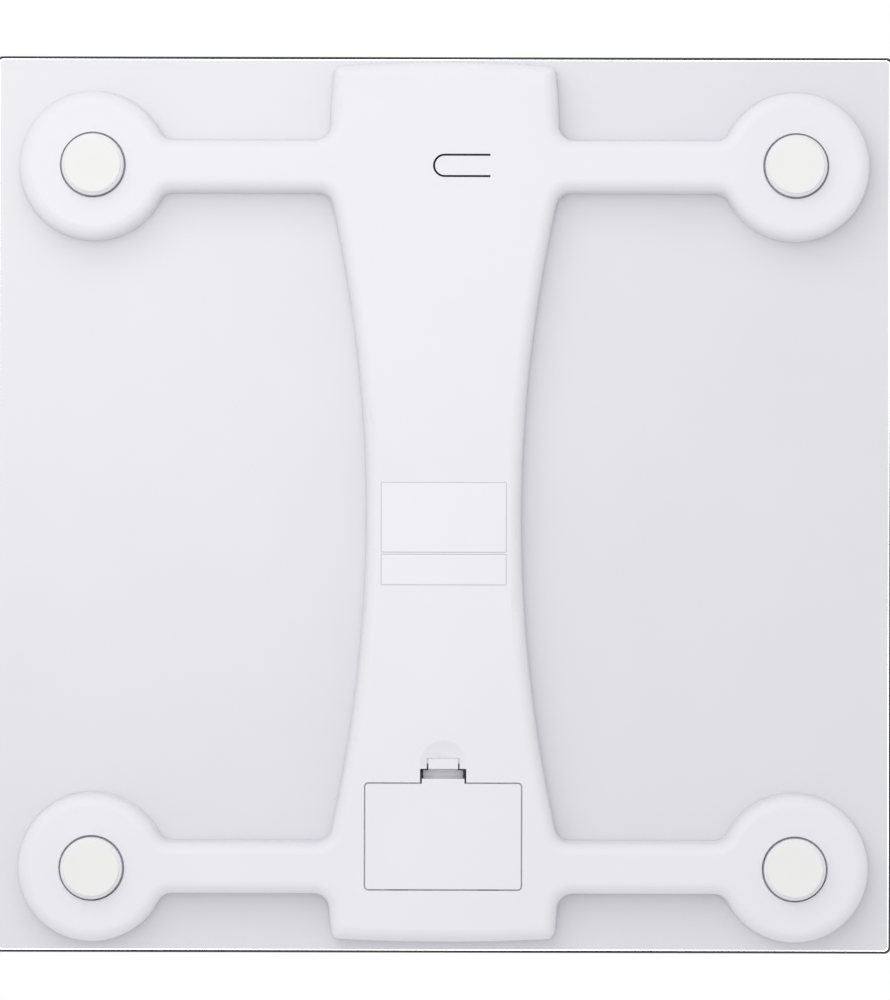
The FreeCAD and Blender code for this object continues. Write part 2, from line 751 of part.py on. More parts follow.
def make_battery(index):
    """A size AAA battery, its positive end against the bump of its contact."""
    y, direction = battery_row(index)
    tip = plate_x() - contact_bump_height
    radius = battery_diameter / 2
    can = Part.makeCylinder(radius, battery_length - battery_nub_height,
                            V(direction * (tip - battery_length), y, battery_z), V(direction, 0, 0))
    rims = [e for e in can.Edges if isinstance(e.Curve, Part.Circle)]
    can = can.makeFillet(battery_edge_radius, rims)
    nub = Part.makeCylinder(battery_nub_diameter / 2, battery_nub_height,
                            V(direction * (tip - battery_nub_height), y, battery_z), V(direction, 0, 0))
    return can.fuse(nub)


def contact_plate(side, y, width):
    """A contact plate against one end wall of the bay."""
    z0 = battery_z - contact_height / 2
    x0, x1 = sorted((side * plate_x(), side * bay_length / 2))
    return block(x0, x1, y - width / 2, y + width / 2, z0, z0 + contact_height)


def bump(side, y):
    """The raised bump that meets a battery's positive end."""
    return Part.makeCylinder(contact_bump_radius, contact_bump_height, V(side * plate_x(), y, battery_z),
                             V(-side, 0, 0))


def leaf(side, y):
    """The bent leaf spring that meets a battery's flat end."""
    reach = 2 * plate_x() - battery_length - contact_bump_height
    half = contact_height / 2 - contact_thickness
    t = contact_thickness
    outline = [(0, half), (0, half - 2 * t), (reach - t, -t), (0, -half), (0, -half - t), (reach, -2 * t),
               (reach, t)]
    corners = [V(side * (plate_x() - depth), y - leaf_width / 2, battery_z + z) for depth, z in outline]
    return Part.Face(Part.makePolygon(corners + corners[:1])).extrude(V(0, leaf_width, 0))


def solder_tab(side, y):
    """The tab that passes through the bay's wall to the lead."""
    x0, x1 = sorted((side * bay_length / 2, side * (bay_length / 2 + bay_wall + solder_tab_reach)))
    return block(x0, x1, y - solder_tab_width / 2, y + solder_tab_width / 2, wire_z - solder_tab_height / 2,
                 wire_z + solder_tab_height / 2)


def make_positive_terminal():
    """The single contact of the first battery's positive end."""
    y, side = battery_row(0)
    return fuse([contact_plate(side, y, contact_width), bump(side, y), solder_tab(side, y)])


def make_negative_terminal():
    """The single contact of the last battery's flat end."""
    y, direction = battery_row(battery_count - 1)
    side = -direction
    return fuse([contact_plate(side, y, contact_width), leaf(side, y), solder_tab(side, y)])


def make_link(index):
    """The contact that joins one battery's flat end to the next one's positive end."""
    y0, direction = battery_row(index)
    y1, _ = battery_row(index + 1)
    side = -direction
    width = contact_width + abs(y0 - y1)
    return fuse([contact_plate(side, (y0 + y1) / 2, width), leaf(side, y0), bump(side, y1)])


# ------------------------------------------------------------------ door and latch
def make_door():
    """The battery door: plate, lugs, stiffening ribs and the fixed leg of its latch spring."""
    plate = slab(door_length, door_width, face_z, door_z, y=bay_centre_y)
    plate = round_corners(plate, door_corner_radius)
    pieces = [plate]
    tab_half = latch_tab_width / 2
    pieces.append(block(-tab_half, tab_half, door_front_y - door_corner_radius, tab_front_y, face_z, door_z))
    for gap in range(battery_count - 1):
        y = (battery_row(gap)[0] + battery_row(gap + 1)[0]) / 2
        pieces.append(slab(bay_length - 2 * door_gap - 2 * contact_thickness - 2 * lug_depth,
                           door_rib_thickness, door_z, door_z + door_rib_height, y=y))
    for x in lug_places():
        x0 = x - lug_width / 2
        x1 = x + lug_width / 2
        root = block(x0, x1, door_rear_y, door_rear_y + lug_depth, door_z, lug_top_z)
        hook = block(x0, x1, hinge_y - lug_reach, door_rear_y, lug_top_z - lug_thickness, lug_top_z)
        pieces += [root, hook]
    half = latch_spring_width / 2
    lip_half = lip_width / 2
    top = channel_z + latch_leg
    shoulder_y = outer_leg_y - latch_run
    pieces.append(block(-half, half, tab_front_y - latch_leg, tab_front_y, door_z, top))
    pieces.append(block(-half, half, tab_front_y, shoulder_y, channel_z, top))
    pieces.append(bend_fillet(half))
    end_y = outer_leg_y + latch_leg
    bend = side_profile([(shoulder_y, channel_z), (end_y, channel_z), (end_y, top - latch_bend_chamfer),
                         (end_y - latch_bend_chamfer, top), (shoulder_y, top)], -lip_half, lip_half)
    return fuse(pieces + [bend])


def bend_fillet(half):
    """The rounding inside the latch spring's bend, between its fixed leg and its bridge."""
    radius = latch_bend_radius
    corner = block(-half, half, tab_front_y, tab_front_y + radius, channel_z - radius, channel_z)
    centre = V(-half, tab_front_y + radius, channel_z - radius)
    return corner.cut(Part.makeCylinder(radius, 2 * half, centre, V(1, 0, 0)))


def make_latch():
    """The free leg of the latch spring, with its catch and the lip for a finger."""
    half = lip_width / 2
    lip_z = face_z + lip_recess
    front = outer_leg_y + latch_leg
    catch_z = floor_z + latch_pad_thickness + catch_gap
    leg = block(-half, half, outer_leg_y, front, lip_z, latch_pivot_z)
    knuckle = Part.makeCylinder(latch_leg / 2, lip_width, V(-half, latch_pivot_y, latch_pivot_z), V(1, 0, 0))
    lip = block(-half, half, outer_leg_y, front + lip_reach, lip_z, lip_z + lip_thickness)
    tip = front + latch_run + catch_overlap
    catch = side_profile([(front, catch_z), (tip, catch_z), (tip, catch_z + catch_height / 3),
                          (front, catch_z + catch_height)], -half, half)
    return fuse([leg, knuckle, lip, catch])


# ------------------------------------------------------------------ display and electronics
def make_board():
    """The circuit board, with its screw holes."""
    board = slab(board_length, board_width, board_z, board_top_z, y=board_centre_y)
    board = round_corners(board, board_corner_radius)
    for x, y in screw_places():
        board = board.cut(disc(screw_radius + screw_hole_gap, board_z, board_top_z, x, y))
    return board


def make_screws():
    """The four screws that hold the board to its bosses."""
    screws = []
    for x, y in screw_places():
        shank = disc(screw_radius, board_z - screw_depth, board_top_z, x, y)
        head = disc(screw_head_radius, board_top_z, board_top_z + screw_head_height, x, y)
        screws.append(shank.fuse(head).removeSplitter())
    return Part.makeCompound(screws)


def make_display():
    """The liquid crystal panel."""
    return slab(display_length, display_width, display_z, display_z + display_thickness, y=display_centre_y)


def make_holder():
    """The frame that stands on the board and holds the panel."""
    top = display_z + display_thickness
    length = display_length + 2 * holder_gap
    width = display_width + 2 * holder_gap
    frame = slab(length + 2 * holder_wall, width + 2 * holder_wall, board_top_z, top, y=display_centre_y)
    return frame.cut(slab(length, width, board_top_z, top, y=display_centre_y))


def make_zebra(side):
    """One of the two rubber strips that connect the panel to the board."""
    y = display_centre_y + side * (display_width / 2 - zebra_inset)
    return slab(display_length - 2 * zebra_setback, zebra_width, board_top_z, display_z, y=y)


def switch_x():
    """The switch sits over the middle of the button's round tip."""
    return button_tip_x - button_width / 2


def plunger_z():
    """The lower end of the plunger, just clear of the button."""
    return board_z - switch_height - plunger_length


def make_switch():
    """The small push switch under the board, with the well of its plunger."""
    body = slab(switch_size, switch_size, board_z - switch_height, board_z, switch_x(), front_y)
    well = disc(plunger_radius + plunger_gap, board_z - switch_height,
                board_z - switch_height + plunger_socket + plunger_length, switch_x(), front_y)
    return body.cut(well)


def make_plunger():
    """The switch's plunger."""
    z0 = plunger_z()
    return disc(plunger_radius, z0, z0 + plunger_length + plunger_socket, switch_x(), front_y)


def make_chip():
    """The controller under its round drop of resin."""
    y = board_centre_y + chip_ahead
    ball_radius = (chip_radius ** 2 + chip_height ** 2) / (2 * chip_height)
    ball = Part.makeSphere(ball_radius, V(chip_x, y, board_z - chip_height + ball_radius))
    return ball.common(disc(chip_radius + 1, board_z - chip_height - 1, board_z, chip_x, y))


# ------------------------------------------------------------------ leads
def rounded_path(points, radii):
    """A flat path of straight runs joined by tangent arcs."""
    edges = []
    start = V(*points[0])
    for before, here, after, radius in zip(points, points[1:], points[2:], radii):
        corner = V(*here)
        back = (V(*before) - corner).normalize()
        ahead = (V(*after) - corner).normalize()
        half = back.getAngle(ahead) / 2
        length = radius / math.tan(half)
        enter = corner + back * length
        leave = corner + ahead * length
        middle = corner + (back + ahead).normalize() * (radius / math.sin(half) - radius)
        edges.append(Part.LineSegment(start, enter).toShape())
        edges.append(Part.Arc(enter, middle, leave).toShape())
        start = leave
    edges.append(Part.LineSegment(start, V(*points[-1])).toShape())
    return Part.Wire(edges)


def lead_section(start, ahead):
    """The flat section of a three-core lead, across its first run."""
    across = ahead.cross(UP) * (lead_width / 2)
    rise = UP * (lead_thickness / 2)
    corners = [start + across + rise, start - across + rise, start - across - rise, start + across - rise]
    return Part.makePolygon(corners + corners[:1])


def wire_section(start, ahead):
    """The round section of a battery wire."""
    return Part.Wire(Part.Circle(start, ahead, wire_radius).toShape())


def lay(points, radii, section):
    """A lead of the given section along its path, checked against section times length."""
    path = rounded_path(points, radii)
    ahead = (V(*points[1]) - V(*points[0])).normalize()
    profile = section(V(*points[0]), ahead)
    lead = path.makePipeShell([profile], True, False)
    ideal = Part.Face(profile).Area * path.Length
    if abs(lead.Volume / ideal - 1) > 0.01:
        raise ValueError("a lead's volume is off its section times its length")
    return lead


def front_lead(side):
    """From a front load cell straight along its arm to the edge of the board."""
    start = foot_x - cell_length / 2 - lead_gap
    finish = board_length / 2 - lead_overlap
    points = [(side * start, front_y, lead_z), (side * finish, front_y, lead_z)]
    return lay(points, [], lead_section)


def rear_lead(side):
    """From a rear load cell along its arm, round into the spine and past the waist to the board."""
    start = foot_x - cell_length / 2 - lead_gap
    finish = board_rear_y + lead_overlap
    points = [
        (side * start, rear_y, lead_z),
        (side * lead_bay_x(), rear_y, lead_z),
        (side * lead_bay_x(), lane_bend_y, lead_z),
        (side * spine_lane, narrow_y, lead_z),
        (side * spine_lane, finish, lead_z),
    ]
    return lay(points, [lane_turn_radius, lane_bend_radius, lane_bend_radius], lead_section)


def battery_wire(side, y):
    """From a solder tab beside the bay, past the waist, to its end under the board."""
    points = [
        (side * wire_bay_x(), y + solder_tab_width / 2, wire_z),
        (side * wire_bay_x(), lane_bend_y, wire_z),
        (side * wire_lane, narrow_y, wire_z),
        (side * wire_lane, board_rear_y + lead_overlap, wire_z),
    ]
    return lay(points, [lane_bend_radius, lane_bend_radius], wire_section)


# ------------------------------------------------------------------ labels
def make_label(front, width):
    """A blank sticker on the underside of the spine."""
    return slab(waist_width - 2 * label_margin, width, face_z - label_thickness, face_z, y=front - width / 2)


# ------------------------------------------------------------------ assembly
def make_parts():
    """Every sub-part by name."""
    parts = {
        "glass_platter": make_platter(),
        "platter_print": make_print(),
        "bond_bead": make_bead(),
        "base_housing": make_base(),
        "unit_button": make_button(),
        "battery_door": make_door(),
        "door_latch": make_latch(),
        "positive_terminal": make_positive_terminal(),
        "negative_terminal": make_negative_terminal(),
        "link_contact_left": make_link(0),
        "link_contact_right": make_link(1),
        "main_board": make_board(),
        "board_screws": make_screws(),
        "display_panel": make_display(),
        "display_holder": make_holder(),
        "zebra_strip_front": make_zebra(1),
        "zebra_strip_rear": make_zebra(-1),
        "controller_chip": make_chip(),
        "unit_switch": make_switch(),
        "switch_plunger": make_plunger(),
        "battery_wire_red": battery_wire(1, battery_row(0)[0]),
        "battery_wire_black": battery_wire(-1, battery_row(battery_count - 1)[0]),
        "rating_label": make_label(label_front_y, label_width),
        "rating_label_foot": make_label(label_front_y - label_width - label_split, sub_label_width),
    }
    for index in range(battery_count):
        parts["battery_%d" % (index + 1)] = make_battery(index)
    for name, (x, y) in CORNERS.items():
        side = math.copysign(1, x)
        parts["foot_pad_" + name] = make_pad(x, y)
        parts["foot_cup_" + name] = make_cup(x, y)
        parts["load_cell_" + name] = make_cell(x, y)
        parts["bearing_block_" + name] = make_bearing(x, y)
        parts["cell_lead_" + name] = front_lead(side) if y > 0 else rear_lead(side)
    return parts


os.makedirs("parts", exist_ok=True)
for node, shape in make_parts().items():
    if not shape.isValid() or shape.Volume <= 0:
        raise ValueError(node + " is not a valid solid")
    shape.exportStep("parts/%s.step" % node)
    box = shape.BoundBox
    print("%-28s %d solids %10.1f mm3  x %.1f..%.1f  y %.1f..%.1f  z %.1f..%.1f" % (
        node, len(shape.Solids), shape.Volume, box.XMin, box.XMax, box.YMin, box.YMax, box.ZMin, box.ZMax))
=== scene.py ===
# %% [markdown]
# # A glass bathroom scale, seen from underneath
#
# This notebook dresses a finished CAD model. Every solid of the scale comes in from the frame, and
# the cells below give the solids their real finish, one group at a time. Three thin layers are made
# again as Blender pieces. The scale stands on the floor with its glass on top, and the main camera
# lies under it and looks straight up at the moulded base.

import math

import bmesh
import bpy
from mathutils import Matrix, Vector


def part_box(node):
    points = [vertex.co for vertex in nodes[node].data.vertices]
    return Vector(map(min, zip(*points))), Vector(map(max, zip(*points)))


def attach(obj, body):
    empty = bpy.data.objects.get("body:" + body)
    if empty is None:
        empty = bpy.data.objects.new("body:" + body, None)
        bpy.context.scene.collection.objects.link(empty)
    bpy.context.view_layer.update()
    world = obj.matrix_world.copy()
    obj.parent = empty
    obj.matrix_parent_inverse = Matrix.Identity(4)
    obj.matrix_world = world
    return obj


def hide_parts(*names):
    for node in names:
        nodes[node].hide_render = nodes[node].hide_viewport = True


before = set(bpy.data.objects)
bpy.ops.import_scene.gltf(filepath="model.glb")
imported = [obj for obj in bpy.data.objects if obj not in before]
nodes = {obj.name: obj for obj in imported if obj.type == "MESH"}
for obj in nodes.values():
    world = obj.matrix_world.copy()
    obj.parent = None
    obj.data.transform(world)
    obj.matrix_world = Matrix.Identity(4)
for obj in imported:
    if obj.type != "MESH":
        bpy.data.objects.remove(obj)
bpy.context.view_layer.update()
MM = 0.001
CORNERS = ("front_left", "front_right", "rear_left", "rear_right")
print("solids in the frame:", len(nodes))

# %% [markdown]
# ## Colours, nodes and materials
#
# Paint charts give colours as sRGB hex codes, but Blender's shaders work in linear light, so one
# function does the change. A second one adds a node, sets it and wires it up. Sockets go by name,
# or by number where a node has several of one name. With these two, each material below reads as a
# short recipe, which is easier to follow and to change than a node tree drawn by hand.

# %% Colours and nodes
# A Mix node has several sockets called A, B and Result. These are its colour ones.
MIX_A, MIX_B, MIXED = 6, 7, 2


def linear(hexcode):
    """A colour in linear light from its sRGB hex code."""
    channels = [int(hexcode[i:i + 2], 16) / 255 for i in (1, 3, 5)]
    return [c / 12.92 if c <= 0.04045 else ((c + 0.055) / 1.055) ** 2.4 for c in channels] + [1.0]


def add(tree, kind, values=None, links=None, **settings):
    """Add a node with its settings, the values of its sockets and the links into it."""
    node = tree.nodes.new("ShaderNode" + kind)
    for name, value in settings.items():
        setattr(node, name, value)
    for socket, value in (values or {}).items():
        node.inputs[socket].default_value = value
    for socket, source in (links or {}).items():
        tree.links.new(source, node.inputs[socket])
    return node


print("#808080 is %.3f in linear light" % linear("#808080")[0])

# %% Materials
def new_material(name, hexcode, roughness, **values):
    """A material with one Principled shader; returns it, its node tree and the shader."""
    material = bpy.data.materials.new(name)
    material.use_nodes = True
    tree = material.node_tree
    shader = tree.nodes["Principled BSDF"]
    shader.inputs["Base Color"].default_value = linear(hexcode)
    shader.inputs["Roughness"].default_value = roughness
    for socket, value in values.items():
        shader.inputs[socket.replace("_", " ")].default_value = value
    return material, tree, shader


def dress(material, *names):
    """Give CAD solids a material."""
    for name in names:
        mesh = nodes[name].data
        mesh.materials.clear()
        mesh.materials.append(material)
    print(material.name, "on", ", ".join(names))

# %% [markdown]
# ## Drift and relief
#
# Two effects come back on nearly every part. A colour that drifts a little from place to place
# keeps a pale moulding from looking like flat paint. A fine relief, as deep as the real grain is,
# breaks up the reflections. Picture textures could do both, but they would have to be unwrapped
# onto every solid. A noise needs no unwrapping: it reads the object's own coordinates, so it stays
# put when a part moves, and it takes its scale from a size in metres.

# %% Drift and relief
EVEN = (1.0, 1.0, 1.0)


def drift(tree, shader, size, dark, light):
    """Let the colour drift between two near hex colours, over patches of one size."""
    place = add(tree, "TexCoord").outputs["Object"]
    patches = add(tree, "TexNoise", {"Scale": 1 / size, "Detail": 3.0}, {"Vector": place})
    colour = add(tree, "Mix", {MIX_A: linear(dark), MIX_B: linear(light)},
                 {0: patches.outputs["Fac"]}, data_type="RGBA")
    tree.links.new(colour.outputs[MIXED], shader.inputs["Base Color"])


def relief(tree, shader, size, depth, stretch=EVEN):
    """Roughen the surface with grains of one size and depth; a stretch below 1 draws them out."""
    place = add(tree, "TexCoord").outputs["Object"]
    along = add(tree, "VectorMath", {1: stretch}, {0: place}, operation="MULTIPLY")
    grains = add(tree, "TexNoise", {"Scale": 1 / size, "Detail": 2.0}, {"Vector": along.outputs[0]})
    bump = add(tree, "Bump", {"Strength": 1.0, "Distance": depth},
               {"Height": grains.outputs["Fac"]})
    tree.links.new(bump.outputs["Normal"], shader.inputs["Normal"])

# %% [markdown]
# ## White ABS
#
# The base, the battery door, the unit button and the foot cups are injection moulded from ABS, a
# tough plastic. The mould is spark eroded to a fine satin grain, so the surface scatters light
# evenly and shows no hard reflection. The melt cools unevenly, which leaves a faint cloudiness a
# few centimetres wide. The real grain is about 0.05 mm; it is drawn coarser here so that it shows.

# %% White ABS
def moulded_abs():
    """Satin white ABS with spark-eroded grain: soft highlights that roll round every edge."""
    material, tree, shader = new_material("white_abs_spark_eroded", "#EFEEF3", roughness=0.42,
                                          IOR=1.53)
    drift(tree, shader, size=60 * MM, dark="#ECEBF0", light="#F2F1F6")
    relief(tree, shader, size=0.35 * MM, depth=0.006 * MM)
    return material


abs_white = moulded_abs()
dress(abs_white, "base_housing", "unit_button", "battery_door", "door_latch")
dress(abs_white, *["foot_cup_" + corner for corner in CORNERS])

# %% [markdown]
# ## Soft feet
#
# Each foot stands on a disc of thermoplastic rubber, a shade more neutral than the ABS round it.
# It is moulded matt, so it has almost no gloss, and a trace of sheen stands for its velvety touch.

# %% Soft feet
def moulded_rubber():
    """Matt white rubber: even and dry, without a highlight."""
    material, tree, shader = new_material("white_rubber_moulded", "#F2F2F1", roughness=0.7,
                                          IOR=1.5, Sheen_Weight=0.05)
    drift(tree, shader, size=12 * MM, dark="#F0F0EF", light="#F4F4F4")
    relief(tree, shader, size=0.5 * MM, depth=0.02 * MM)
    return material


dress(moulded_rubber(), *["foot_pad_" + corner for corner in CORNERS])

# %% [markdown]
# ## Tempered glass
#
# The platter is clear soda-lime glass. Light that crosses a few millimetres of it keeps nearly all
# its strength. Plain diffuse and shadow rays pass straight through, which stands in for the light
# that real glass lets down to the print.
#
# The edge is ground, chamfered and polished. Light that leaves there has come a long way through
# the glass, so the side looks green, and the chamfers look dark, because total reflection sends
# their light elsewhere. Tracing that would take a great many bounces, so both get a glossy surface
# of their own, and the chamfers' darkness is painted shade in their colour. The height of the
# surface normal tells them apart: 1 on the flat faces, about 0.7 on the chamfers and 0 on the
# sides. A noise a few millimetres across leaves faint streaks from the grinding.

# %% Polished edge
GLASS_IOR = 1.52
FLAT_FROM, CHAMFER_FROM = 0.95, 0.35
GRINDING_STREAK = 5 * MM


def edge_surface(tree, height):
    """The glossy edge: painted shade, near black, where the normal leans as on a chamfer, streaky
    green elsewhere.
    """
    place = add(tree, "TexCoord").outputs["Object"]
    streaks = add(tree, "TexNoise", {"Scale": 1 / GRINDING_STREAK, "Detail": 4.0},
                  {"Vector": place})
    side = add(tree, "Mix", {MIX_A: linear("#748F86"), MIX_B: linear("#8BA49C")},
               {0: streaks.outputs["Fac"]}, data_type="RGBA")
    chamfer = add(tree, "Math", {1: CHAMFER_FROM}, {0: height}, operation="GREATER_THAN")
    # Near black on the chamfers is painted shade for the light that total reflection sends
    # elsewhere.
    colour = add(tree, "Mix", {MIX_B: linear("#1F2423")},
                 {0: chamfer.outputs[0], MIX_A: side.outputs[MIXED]}, data_type="RGBA")
    return add(tree, "BsdfPrincipled", {"Roughness": 0.12, "IOR": GLASS_IOR},
               {"Base Color": colour.outputs[MIXED]}).outputs[0]

# %% Tempered glass
GLASS_TINT = "#F9FDFB"


def polished_glass():
    """Clear glass with green sides and chamfers painted dark as shade."""
    material, tree, glass = new_material("tempered_glass_polished", GLASS_TINT, roughness=0.0,
                                         IOR=GLASS_IOR, Transmission_Weight=1.0)
    normal = add(tree, "TexCoord").outputs["Normal"]
    lift = add(tree, "SeparateXYZ", links={0: normal}).outputs["Z"]
    height = add(tree, "Math", links={0: lift}, operation="ABSOLUTE").outputs[0]
    rim = add(tree, "Math", {1: FLAT_FROM}, {0: height}, operation="LESS_THAN")
    body = add(tree, "MixShader",
               links={0: rim.outputs[0], 1: glass.outputs[0], 2: edge_surface(tree, height)})

    rays = add(tree, "LightPath").outputs
    plain = add(tree, "Math", links={0: rays["Is Shadow Ray"], 1: rays["Is Diffuse Ray"]},
                operation="MAXIMUM")
    straight = add(tree, "BsdfTransparent", {"Color": linear(GLASS_TINT)})
    whole = add(tree, "MixShader",
                links={0: plain.outputs[0], 1: body.outputs[0], 2: straight.outputs[0]})
    tree.links.new(whole.outputs[0], tree.nodes["Material Output"].inputs["Surface"])
    return material


dress(polished_glass(), "glass_platter")

# %% [markdown]
# ## Ceramic enamel
#
# The back of the glass carries a pale enamel. It is screen printed and then fired on when the
# glass is tempered. It is opaque and smooth, with a slight mottle from the firing and the shallow
# trace of the screen's mesh, so it has a little more gloss than the base.

# %% Ceramic enamel
def fired_enamel():
    """Pale fired enamel: smooth, even and slightly glossy."""
    material, tree, shader = new_material("ceramic_enamel_fired", "#E7E6EB", roughness=0.2, IOR=1.5)
    drift(tree, shader, size=45 * MM, dark="#E5E4E9", light="#E9E8ED")
    relief(tree, shader, size=0.4 * MM, depth=0.003 * MM)
    return material


enamel = fired_enamel()
print("made", enamel.name)

# %% [markdown]
# ## The printed layer
#
# In the CAD model the print and the glass share one plane. A ray that comes down through clear
# glass cannot tell which of two surfaces in one place it meets first, and that shows as stripes.
# So the print is made again, a hair's breadth thinner than its solid. A cube with a boolean cut
# could do it, but a flat curve is simpler: it has two outlines, the print's own and that of the
# display window, is filled between them and gets its thickness from one setting.

# %% Rounded outlines
CORNER_STEPS = 8


def rounded_outline(low, high, radius):
    """The corner points of a rounded rectangle, anticlockwise."""
    corners = [(high[0], high[1]), (low[0], high[1]), (low[0], low[1]), (high[0], low[1])]
    points = []
    for quarter, (x, y) in enumerate(corners):
        cx = x - math.copysign(radius, x - (low[0] + high[0]) / 2)
        cy = y - math.copysign(radius, y - (low[1] + high[1]) / 2)
        for step in range(CORNER_STEPS + 1):
            turn = math.radians(90 * (quarter + step / CORNER_STEPS))
            points.append((cx + radius * math.cos(turn), cy + radius * math.sin(turn)))
    return points

# %% The printed layer
PRINT_CORNER = 1.5 * MM
PRINT_SLACK = 0.02 * MM
WINDOW_SIZE = (54.0 * MM, 23.0 * MM)


def enamel_print():
    """The printed layer, with the clear window left open over the display."""
    low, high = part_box("platter_print")
    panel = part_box("display_panel")
    middle = [(panel[0][i] + panel[1][i]) / 2 for i in (0, 1)]
    window = [[middle[i] + side * WINDOW_SIZE[i] / 2 for i in (0, 1)] for side in (-1, 1)]
    layer = bpy.data.curves.new("enamel_print", "CURVE")
    layer.dimensions = "2D"
    layer.fill_mode = "BOTH"
    layer.extrude = (high[2] - low[2]) / 2 - PRINT_SLACK
    for corners in ((low, high), window):
        points = rounded_outline(*corners, PRINT_CORNER)
        spline = layer.splines.new("POLY")
        spline.points.add(len(points) - 1)
        for point, (x, y) in zip(spline.points, points):
            point.co = (x, y, 0, 1)
        spline.use_cyclic_u = True
    layer.materials.append(enamel)
    piece = bpy.data.objects.new("enamel_print", layer)
    piece.location.z = (low[2] + high[2]) / 2
    bpy.context.collection.objects.link(piece)
    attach(piece, "platform")
    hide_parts("platter_print")
    print("print %.1f mm wide" % ((high[0] - low[0]) / MM))


enamel_print()

# %% [markdown]
# ## Adhesive
#
# A thin line of silicone bonds the rim of the base to the print. Cured silicone is milky and lets
# light in a little way, which the subsurface setting imitates.

# %% Adhesive
def cured_silicone():
    """Milky silicone: waxy and soft at its edges."""
    material, tree, shader = new_material("silicone_cured", "#E4E6E8", roughness=0.35, IOR=1.41,
                                          Subsurface_Weight=0.3, Subsurface_Scale=0.5 * MM)
    drift(tree, shader, size=8 * MM, dark="#E0E2E4", light="#E8EAEB")
    return material


dress(cured_silicone(), "bond_bead")

# %% [markdown]
# ## Blank stickers
#
# Two polyester stickers lie on the waist of the spine, the lower one less than half as high as the
# other. They are die cut with small round corners and are blank, and a thin pale grey ring runs
# round the edge of their lower face. The CAD model holds a plain sheet for each. Here the rounded
# outline from the print is filled and given its thickness, and its lower face is inset by the
# ring's width, which leaves a ring of faces for the grey ring's own material. A ring drawn in a
# picture would need an unwrapped picture instead.

# %% Sticker materials
def polyester(name, light, dark):
    """Satin polyester film: a shade brighter and smoother than the moulding under it."""
    material, tree, shader = new_material(name, light, roughness=0.3, IOR=1.57)
    drift(tree, shader, size=15 * MM, dark=dark, light=light)
    return material


film = polyester("polyester_film_white", "#F1F0F5", "#EEEDF2")
# Pale grey for a thin ring round the edge of each sticker's lower face.
grey_edge_ring = polyester("polyester_film_grey_edge", "#D0CFD6", "#CAC9D0")
print("made", film.name, "and", grey_edge_ring.name)

# %% The two stickers
STICKER_CORNER = 0.5 * MM
STICKER_EDGE_RING = 0.35 * MM


def sticker(name, node):
    """One blank sticker in the place of its CAD sheet."""
    low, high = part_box(node)
    shape = bmesh.new()
    outline = rounded_outline(low, high, STICKER_CORNER)
    face = shape.faces.new([shape.verts.new((x, y, high[2])) for x, y in outline])
    grown = bmesh.ops.extrude_face_region(shape, geom=[face])
    bottom = [part for part in grown["geom"] if isinstance(part, bmesh.types.BMFace)][0]
    for vertex in bottom.verts:
        vertex.co.z = low[2]
    ring = bmesh.ops.inset_region(shape, faces=[bottom], thickness=STICKER_EDGE_RING)
    for part in ring["faces"]:
        part.material_index = 1
    bmesh.ops.recalc_face_normals(shape, faces=shape.faces)
    mesh = bpy.data.meshes.new(name)
    shape.to_mesh(mesh)
    shape.free()
    mesh.materials.append(film)
    mesh.materials.append(grey_edge_ring)
    piece = bpy.data.objects.new(name, mesh)
    bpy.context.collection.objects.link(piece)
    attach(piece, "platform")
    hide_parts(node)
    print(name, "%.1f x %.1f mm" % tuple((high[i] - low[i]) / MM for i in (0, 1)))


sticker("rating_sticker", "rating_label")
sticker("foot_sticker", "rating_label_foot")

# %% [markdown]
# ## Batteries
#
# Three AAA cells lie side by side under the door, every second one turned round. A cell is a steel
# can in a plastic jacket, and only its two ends are bare. The jackets are plain: silver with a
# blue-grey band behind the positive end and a white insulating ring at the rim. Cutting the can
# into rings would change its mesh. A colour ramp, read along the cell from its positive tip, does
# the same in the material, and a second ramp says what is metal.

# %% Batteries
# Where each zone starts, from the positive tip: the tip, ring, band, jacket and negative end
ZONES = (0.0, 1.2 * MM, 2.4 * MM, 13.0 * MM, 43.8 * MM)
RAMPS = {
    "Base Color": ("#D2D0CB", "#F4F4F2", "#5B6F86", "#C6C8CC", "#D2D0CB"),
    "Metallic": ("#FFFFFF", "#000000", "#000000", "#8C8C8C", "#FFFFFF"),
}


def jacketed_cell(name, direction):
    """A cell with steel ends and a glossy jacket, its positive tip towards direction along X."""
    low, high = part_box(name)
    tip = high[0] if direction > 0 else low[0]
    length = high[0] - low[0]
    material, tree, shader = new_material("jacketed_" + name, "#C9CBD0", roughness=0.3)
    place = add(tree, "TexCoord").outputs["Object"]
    across = add(tree, "SeparateXYZ", links={0: place}).outputs["X"]
    back = add(tree, "Math", {0: tip}, {1: across}, operation="SUBTRACT")
    along = add(tree, "Math", {1: direction / length}, {0: back.outputs[0]}, operation="MULTIPLY")
    for socket, colours in RAMPS.items():
        ramp = add(tree, "ValToRGB", links={0: along.outputs[0]})
        ramp.color_ramp.interpolation = "CONSTANT"
        stops = ramp.color_ramp.elements
        while len(stops) < len(colours):
            stops.new(1.0)
        for stop, start, colour in zip(stops, ZONES, colours):
            stop.position = start / length
            stop.color = linear(colour)
        tree.links.new(ramp.outputs["Color"], shader.inputs[socket])
    relief(tree, shader, size=0.6 * MM, depth=0.004 * MM, stretch=(0.05, 1.0, 1.0))
    dress(material, name)


for number, direction in ((1, 1), (2, -1), (3, 1)):
    jacketed_cell("battery_%d" % number, direction)

# %% [markdown]
# ## Contacts, screws and load cells
#
# All of these are steel. The contacts are stamped from nickel-plated spring strip, warm in colour
# and fairly bright. The screws are zinc plated and cooler. The load cells are ground, which leaves
# fine parallel scratches, so their grain is drawn out along X. One function makes all three, since
# they differ only in colour, roughness and grain.

# %% Steel parts
METAL_CLOUD = 6 * MM


